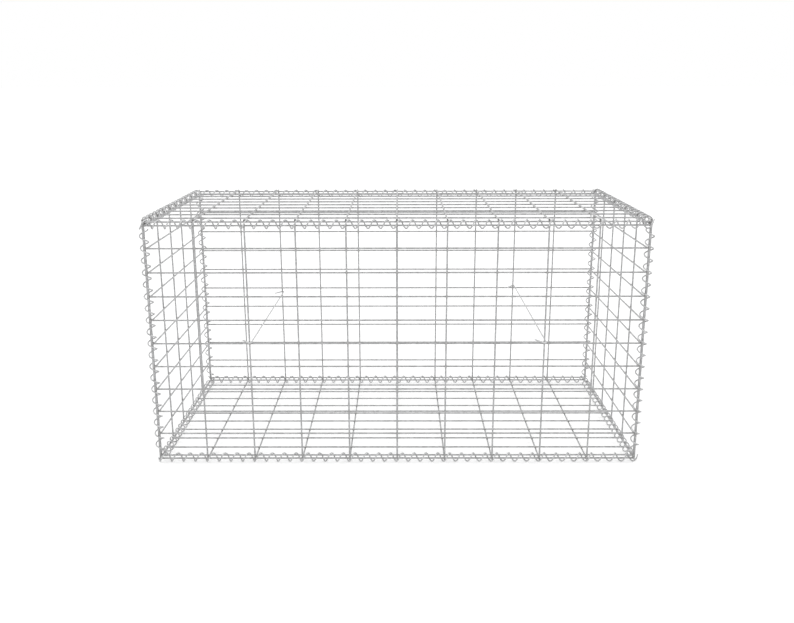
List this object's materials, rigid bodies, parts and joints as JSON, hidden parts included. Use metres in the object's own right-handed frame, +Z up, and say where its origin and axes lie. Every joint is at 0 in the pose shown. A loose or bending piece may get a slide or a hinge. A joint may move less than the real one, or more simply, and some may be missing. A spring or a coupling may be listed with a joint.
{
  "type": "gabion basket",
  "caption": "Rectangular welded wire mesh basket for stone filling, with a closed lid, spiral lacing wires along its edges and cross ties.",
  "frame": {"origin": "middle of the footprint, on the surface that the basket stands on", "axes": "+X along the basket, +Y from the front to the back, +Z up"},
  "size_m": [1.02, 0.513, 0.5198],
  "materials": {
    "mesh_wire": "galvanised, softly shiny",
    "spiral_wire": "galvanised, softly shiny",
    "tie_wire": "galvanised, bright"
  },
  "bodies": {
    "root": {"front_panel": "mesh_wire", "back_panel": "mesh_wire", "left_end_panel": "mesh_wire", "right_end_panel": "mesh_wire", "base_panel": "mesh_wire", "lid_panel": "mesh_wire", "front_bottom_spiral": "spiral_wire", "back_bottom_spiral": "spiral_wire", "left_bottom_spiral": "spiral_wire", "right_bottom_spiral": "spiral_wire", "front_top_spiral": "spiral_wire", "back_top_spiral": "spiral_wire", "left_top_spiral": "spiral_wire", "right_top_spiral": "spiral_wire", "front_left_spiral": "spiral_wire", "front_right_spiral": "spiral_wire", "back_left_spiral": "spiral_wire", "back_right_spiral": "spiral_wire", "left_tie": "tie_wire", "right_tie": "tie_wire"}
  },
  "joints": []
}
